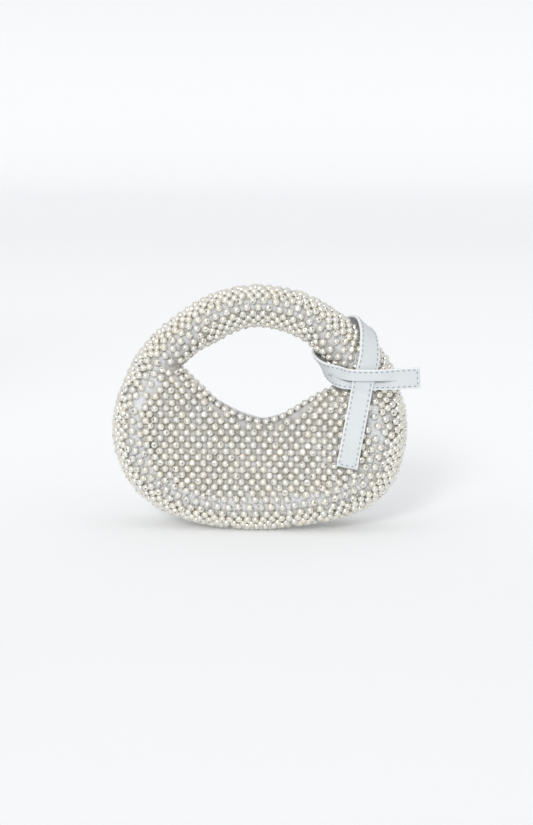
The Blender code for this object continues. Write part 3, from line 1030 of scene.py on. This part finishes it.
def strap_mesh(name):
    """Ribbon along the stations, in two strands that share their middle edge where it isn't slit."""
    bm = bmesh.new()
    upper_shares = [SLIT_SHARE * k / STRAND_SPANS for k in range(STRAND_SPANS + 1)]
    lower_shares = [SLIT_SHARE + (1 - SLIT_SHARE) * k / STRAND_SPANS for k in range(STRAND_SPANS + 1)]
    layer = bm.loops.layers.uv.new("grain")
    chart = {}
    grid = []
    for i in range(len(strap_frames)):
        row = []
        for share in upper_shares:
            spot, open_slit = strap_spot(i, share, True)
            v = bm.verts.new(spot)
            chart[v] = (strap_travel[i] / MM, share * STRAP_WIDTH / MM)
            row.append(v)
        for k, share in enumerate(lower_shares):
            if k == 0 and not open_slit:
                row.append(row[-1])
                continue
            v = bm.verts.new(strap_spot(i, share, False)[0])
            chart[v] = (strap_travel[i] / MM, share * STRAP_WIDTH / MM)
            row.append(v)
        grid.append(row)
    for low, high in zip(grid, grid[1:]):
        for k in range(2 * STRAND_SPANS + 1):
            if k == STRAND_SPANS:
                continue
            face = bm.faces.new((low[k], low[k + 1], high[k + 1], high[k]))
            for loop in face.loops:
                loop[layer].uv = chart[loop.vert]
    bmesh.ops.recalc_face_normals(bm, faces=bm.faces[:])
    item = item_from(bm, name)
    thick = item.modifiers.new("thickness", "SOLIDIFY")
    thick.thickness = STRAP_THICKNESS
    thick.offset = 0.0
    thick.use_even_offset = True
    rounded = item.modifiers.new("edges", "BEVEL")
    rounded.width = STRAP_EDGE_ROUND
    rounded.segments = STRAP_EDGE_SEGMENTS
    rounded.limit_method = "ANGLE"
    rounded.angle_limit = STRAP_EDGE_ANGLE
    return item


LEATHER = (0.66, 0.69, 0.712)
LEATHER_CREASE = (0.56, 0.60, 0.625)
LEATHER_EDGE = (0.82, 0.84, 0.85)
EDGE_PAINT = 0.75


def leather_finish():
    finish = Finish("white_leather", 0.48, 0.0)
    place = finish.object_place()
    grain = finish.node("ShaderNodeTexVoronoi", {"feature": "DISTANCE_TO_EDGE"},
                        {"Vector": place, "Scale": 1300.0})
    cells = finish.value(grain)
    cloud = finish.noise(90.0, 3.0, place)
    chart = finish.node("ShaderNodeUVMap", {"uv_map": "grain"}, {})
    across = finish.value(finish.node("ShaderNodeSeparateXYZ", {}, {0: finish.value(chart)}), 1)
    half = STRAP_WIDTH / MM / 2
    at_edge = abs(across - half).over(half - EDGE_PAINT)
    body = finish.mixed(cloud * 0.5, LEATHER, LEATHER_CREASE)
    finish.set("Base Color", finish.mixed(at_edge * 0.8, body, LEATHER_EDGE))
    finish.set("Roughness", 0.42 + 0.14 * cloud)
    finish.set("Normal", finish.bump(cells.lowest(0.3), 0.3, 0.12 * MM))
    return finish.material


strap = strap_mesh("strap_ribbon")
strap.data.materials.append(leather_finish())
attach(strap, "root")
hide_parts("leather_strap")


# Stitches of the strap.
# Two rows of saddle stitches in grey blue thread run a little inside its edges, and one row closes
# each end. They go through the leather and show on both faces.
STITCH_PITCH = 3.7 * MM
STITCH_LENGTH = 1.8 * MM
STITCH_THICKNESS = 0.85 * MM
STITCH_INSET = 1.75 * MM
STITCH_LIFT = 0.05 * MM
END_STITCHES = 3
STITCH_COLOUR = (0.42, 0.46, 0.50)
STITCH_SHADE = tuple(share * 0.7 for share in STITCH_COLOUR)


def stitch_shape():
    """One stitch along X: a capsule from a squeezed sphere with pulled ends."""
    bm = bmesh.new()
    bmesh.ops.create_uvsphere(bm, u_segments=8, v_segments=6, radius=STITCH_THICKNESS / 2)
    bmesh.ops.rotate(bm, verts=bm.verts[:], cent=(0, 0, 0), matrix=Matrix.Rotation(math.pi / 2, 3, "Y"))
    pull = (STITCH_LENGTH - STITCH_THICKNESS) / 2
    for v in bm.verts:
        v.co.x += pull if v.co.x > 1e-6 else (-pull if v.co.x < -1e-6 else 0.0)
    bm.verts.index_update()
    points = np.array([list(v.co) for v in bm.verts])
    faces = [[v.index for v in f.verts] for f in bm.faces]
    bm.free()
    return points, faces


def lay(start, end, normal):
    """Turn that lays a stitch from start to end, flat on the strap."""
    along = (end - start).normalized()
    side_way = normal.cross(along).normalized()
    return Matrix((along, side_way, along.cross(side_way))).transposed()


stitches = []
inset_share = STITCH_INSET / STRAP_WIDTH
for share, upper in ((inset_share, True), (1 - inset_share, False)):
    for face_side in (1, -1):
        lift = face_side * (STRAP_THICKNESS / 2 + STITCH_LIFT)
        line = [strap_spot(i, share, upper, lift)[0] for i in range(len(strap_frames))]
        travel = np.concatenate([[0.0], np.cumsum([(b - a).length for a, b in zip(line, line[1:])])])
        coords = np.array([list(p) for p in line])
        room = travel[-1] - 2 * STITCH_INSET
        count = int(room / STITCH_PITCH)
        for n in range(count):
            at = STITCH_INSET + (n + 0.5) * room / count
            ends = [Vector([float(np.interp(at + d, travel, coords[:, k])) for k in range(3)])
                    for d in (-STITCH_LENGTH / 2, STITCH_LENGTH / 2)]
            near = int(np.searchsorted(travel, at)) - 1
            turn = lay(ends[0], ends[1], strap_frames[near][3])
            stitches.append(((ends[0] + ends[1]) / 2, turn, chance.random()))
for end in (0, len(strap_frames) - 1):
    place, tangent, across, normal = strap_frames[end]
    inward = tangent * STITCH_INSET * (1 if end == 0 else -1)
    for n in range(END_STITCHES):
        for face_side in (1, -1):
            middle = place + inward + across * STITCH_PITCH * (n - 1)
            middle += normal * face_side * (STRAP_THICKNESS / 2 + STITCH_LIFT)
            stitches.append((middle, lay(middle, middle + across, normal), chance.random()))

thread = Finish("grey_thread", 0.75)
strand = thread.noise(2600.0, 1.0)
thread.set("Base Color", thread.mixed(strand, STITCH_COLOUR, STITCH_SHADE))
thread.set("Normal", thread.bump(strand, 0.5, 0.1 * MM))
stitch_points, stitch_faces = stitch_shape()
strap_stitches = joined("strap_stitches", stitch_points, stitch_faces, stitches)
strap_stitches.data.materials.append(thread.material)
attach(strap_stitches, "root")


# Floor, light and camera.
# A white paper sweep that glows a little, with large soft lights, seen from a little above and to
# the right of the front. Two dark boards beside the camera give the beads their small dark spots.
FLOOR_WHITE = (0.80, 0.81, 0.82)
FLOOR_SHADE = (0.79, 0.80, 0.81)
# Painted shade: the paper is painted darker far behind the bag and up the rising wall, where more light
# falls on the sweep.
FLOOR_FAR_SHADE = (0.71, 0.72, 0.735)
FLOOR_WALL_SHADE = (0.50, 0.51, 0.52)
FLOOR_GLOW = 0.20
FAR_START = 0.4
FAR_FADE = 2.5
FLOOR_SIZE = 40.0
SWEEP_STEPS = 14
SWEEP_START = 5.0
SWEEP_RADIUS = 1.5
SWEEP_TOP = 3.0
FLAG_DISTANCE = 1.0
FLAG_SIZE = (0.30, 0.75)
FLAG_HEIGHT = 0.38
FLAG_DARK = (0.04, 0.038, 0.035)
FLAG_GREY = (0.06, 0.057, 0.05)
CAMERA_TARGET = Vector((0.0053, 0.0, 0.080))
CAMERA_DISTANCE = 1.36
CAMERA_AZIMUTH = math.radians(5.0)
CAMERA_ELEVATION = math.radians(9.0)
CAMERA_LENS = 84.8
WORLD_COLOUR = (0.985, 0.992, 1.0, 1.0)
WORLD_STRENGTH = 0.80
FLAG_AZIMUTHS = {"left_flag": -50, "right_flag": 52}
# Each lamp's name, azimuth, elevation and spread in degrees, strength and colour.
LAMP_ROWS = (
    ("front_light", -10, 25, 14, 1.22, (1.0, 0.99, 0.965)),
    ("left_light", -60, 38, 24, 0.10, (1.0, 0.98, 0.95)),
    ("right_light", 55, 34, 24, 0.10, (1.0, 0.975, 0.945)),
)


def make_floor():
    """Sheet that lies flat under the bag and rises far behind it in a quarter round."""
    bm = bmesh.new()
    bmesh.ops.create_grid(bm, x_segments=2, y_segments=SWEEP_STEPS, size=0.5)
    for v in bm.verts:
        step = round((v.co.y + 0.5) * SWEEP_STEPS) - 1
        turn = math.pi / 2 * min(max(step / (SWEEP_STEPS - 2), 0.0), 1.0)
        depth = SWEEP_START + SWEEP_RADIUS * math.sin(turn) if step >= 0 else -FLOOR_SIZE / 2
        height = SWEEP_RADIUS * (1 - math.cos(turn)) + (SWEEP_TOP if step > SWEEP_STEPS - 2 else 0.0)
        v.co = Vector((v.co.x * FLOOR_SIZE, depth, height))
    floor = item_from(bm, "floor")
    paint = Finish("floor_paper", 0.9, Specular_IOR_Level=0.1)
    place = paint.object_place()
    cloud = paint.noise(2.0, 2.0, place)
    split = paint.node("ShaderNodeSeparateXYZ", {}, {0: place})
    # Painted shade, growing far back and up the rising wall.
    far = ((paint.value(split, 1) - FAR_START) / FAR_FADE).highest(0.0).lowest(1.0)
    high = (paint.value(split, 2) / SWEEP_RADIUS).highest(0.0).lowest(1.0)
    near_paper = paint.mixed(cloud, FLOOR_WHITE, FLOOR_SHADE)
    paint.set("Base Color", paint.mixed(high, paint.mixed(far, near_paper, FLOOR_FAR_SHADE), FLOOR_WALL_SHADE))
    paint.set("Emission Color", FLOOR_WHITE)
    paint.shader.inputs["Emission Strength"].default_value = FLOOR_GLOW
    floor.data.materials.append(paint.material)


def make_flag(name, azimuth):
    """Dark upright board beside the camera, which the beads mirror as a small dark spot."""
    bm = bmesh.new()
    bmesh.ops.create_grid(bm, x_segments=4, y_segments=4, size=0.5)
    turn = math.radians(azimuth)
    place = Vector((math.sin(turn), -math.cos(turn), 0.0)) * FLAG_DISTANCE
    bmesh.ops.scale(bm, vec=(FLAG_SIZE[0], FLAG_SIZE[1], 1.0), verts=bm.verts[:])
    for rotation in (Matrix.Rotation(math.pi / 2, 3, "X"), Matrix.Rotation(turn, 3, "Z")):
        bmesh.ops.rotate(bm, verts=bm.verts[:], cent=(0, 0, 0), matrix=rotation)
    bmesh.ops.translate(bm, vec=place + Vector((0, 0, FLAG_HEIGHT)), verts=bm.verts[:])
    flag = item_from(bm, name)
    paint = Finish(name + "_felt", 0.95)
    paint.set("Base Color", paint.mixed(paint.noise(30.0), FLAG_DARK, FLAG_GREY))
    flag.data.materials.append(paint.material)


def way_towards(azimuth, elevation):
    """Unit way out from the bag, in radians; azimuth 0 is the front, positive to the right."""
    flat = math.cos(elevation)
    return Vector((math.sin(azimuth) * flat, -math.cos(azimuth) * flat, math.sin(elevation)))


def add_sun(name, azimuth, elevation, spread_angle, strength, colour):
    lamp = bpy.data.lights.new(name, "SUN")
    lamp.angle = math.radians(spread_angle)
    lamp.energy = strength
    lamp.color = colour
    item = bpy.data.objects.new(name, lamp)
    bpy.context.scene.collection.objects.link(item)
    way = way_towards(math.radians(azimuth), math.radians(elevation))
    item.rotation_euler = (-way).to_track_quat("-Z", "Y").to_euler()


def make_world():
    world = bpy.data.worlds.new("studio")
    bpy.context.scene.world = world
    world.use_nodes = True
    background = world.node_tree.nodes["Background"]
    background.inputs["Color"].default_value = WORLD_COLOUR
    background.inputs["Strength"].default_value = WORLD_STRENGTH


def make_camera():
    lens = bpy.data.cameras.new("camera")
    lens.lens = CAMERA_LENS
    lens.sensor_width = 36.0
    lens.sensor_fit = "AUTO"
    lens.clip_start = 0.01
    camera = bpy.data.objects.new("camera", lens)
    bpy.context.scene.collection.objects.link(camera)
    way = way_towards(CAMERA_AZIMUTH, CAMERA_ELEVATION)
    camera.location = CAMERA_TARGET + way * CAMERA_DISTANCE
    camera.rotation_euler = (-way).to_track_quat("-Z", "Y").to_euler()
    bpy.context.scene.camera = camera


make_floor()
make_world()
for name, azimuth in FLAG_AZIMUTHS.items():
    make_flag(name, azimuth)
for row in LAMP_ROWS:
    add_sun(*row)
make_camera()
bpy.context.scene.view_settings.view_transform = "Standard"
